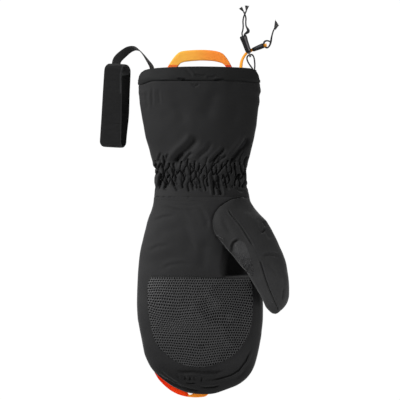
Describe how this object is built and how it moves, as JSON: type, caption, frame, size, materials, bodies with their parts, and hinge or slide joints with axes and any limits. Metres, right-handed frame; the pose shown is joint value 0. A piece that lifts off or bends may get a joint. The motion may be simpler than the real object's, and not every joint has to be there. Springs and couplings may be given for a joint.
{
  "type": "ski mitten",
  "caption": "Insulated gauntlet mitten with a gathered wrist, long cuff, grip palm, pull-on loop, wrist leash and cuff drawcord with a barrel lock.",
  "frame": {"origin": "centre of the flat patch that the back of the hand rests on, under the middle of the palm", "axes": "+Z out of the palm, +Y from the fingertips towards the cuff, +X towards the thumb side"},
  "size_m": [0.2083, 0.433, 0.0626],
  "materials": {
    "shell_fabric": "matte woven nylon",
    "cuff_fabric": "matte woven nylon",
    "gather_fabric": "matte woven nylon, gathered",
    "grip_rubber": "matte, printed dots on fabric",
    "membrane": "matte film",
    "insulation": "matte wadding",
    "lining": "brushed fleece",
    "elastic": "matte",
    "loop_webbing": "woven webbing",
    "tip_webbing": "woven webbing",
    "leash_webbing": "woven webbing",
    "band_elastic": "ribbed elastic webbing",
    "lock_plastic": "moulded, satin",
    "cord_black": "braided",
    "tape_orange": "woven tape"
  },
  "bodies": {
    "hand": {"palm_shell": "shell_fabric", "back_shell": "shell_fabric", "waterproof_insert": "membrane", "palm_insulation": "insulation", "back_insulation": "insulation", "palm_lining": "lining", "back_lining": "lining", "palm_grip_patch": "grip_rubber", "thumb_gusset": "shell_fabric", "gusset_insulation": "insulation", "wrist_gather_front": "gather_fabric", "wrist_gather_back": "gather_fabric", "wrist_elastic": "elastic", "wrist_lining": "lining", "wrist_binding": "shell_fabric"},
    "thumb": {"thumb_inner_shell": "shell_fabric", "thumb_outer_shell": "shell_fabric", "thumb_insulation": "insulation", "thumb_lining": "lining", "thumb_grip_patch": "grip_rubber"},
    "cuff": {"cuff_front_shell": "cuff_fabric", "cuff_back_shell": "cuff_fabric", "cuff_lining": "lining", "cuff_hem_front": "cuff_fabric", "cuff_hem_back": "cuff_fabric", "pull_loop_tabs": "loop_webbing", "leash_anchor": "leash_webbing", "drawcord_guide": "cuff_fabric", "drawcord_loop": "cord_black", "anchor_tape": "tape_orange", "tape_sleeve": "lock_plastic", "pull_tail": "cord_black", "pull_tail_end": "cord_black"},
    "pull_loop": {"pull_loop": "loop_webbing"},
    "tip_loop": {"tip_loop": "tip_webbing"},
    "leash_strap": {"leash_strap": "leash_webbing"},
    "leash_band": {"leash_band": "band_elastic"},
    "cord_lock": {"lock_core": "lock_plastic", "lock_barrel": "lock_plastic", "tail_left": "cord_black", "tail_right": "cord_black", "tail_end_left": "cord_black", "tail_end_right": "cord_black"}
  },
  "joints": [
    {"name": "thumb_flex", "type": "hinge", "parent": "hand", "child": "thumb", "pos_m": [0.02, 0.07, 0.024], "axis": [0, -1, 0], "range_deg": [0, 40], "deforming": ["thumb_gusset", "gusset_insulation"]},
    {"name": "wrist_flex", "type": "hinge", "parent": "hand", "child": "cuff", "pos_m": [0, 0.128, 0.0165], "axis": [1, 0, 0], "range_deg": [-35, 45], "deforming": ["wrist_gather_front", "wrist_gather_back", "wrist_elastic", "wrist_lining"]},
    {"name": "pull_loop_flap", "type": "hinge", "parent": "cuff", "child": "pull_loop", "pos_m": [0, 0.2462, 0.0067], "axis": [1, 0, 0], "range_deg": [0, 80]},
    {"name": "leash_swing", "type": "hinge", "parent": "cuff", "child": "leash_strap", "pos_m": [-0.05335, 0.2466, 0.0165], "axis": [0, 0, 1], "range_deg": [-70, 4]},
    {"name": "leash_band_lift", "type": "hinge", "parent": "leash_strap", "child": "leash_band", "pos_m": [-0.0909, 0.2423, 0.0072], "axis": [-1, 0, 0], "range_deg": [0, 80]},
    {"name": "tip_loop_flap", "type": "hinge", "parent": "hand", "child": "tip_loop", "pos_m": [-0.0465, -0.0855, 0.0009], "axis": [0.89, -0.456, 0], "range_deg": [0, 60]},
    {"name": "drawcord_slide", "type": "slide", "parent": "cuff", "child": "cord_lock", "axis": [-0.3351, 0.9422, 0], "range_m": [-0.006, 0], "deforming": ["drawcord_loop"]}
  ]
}
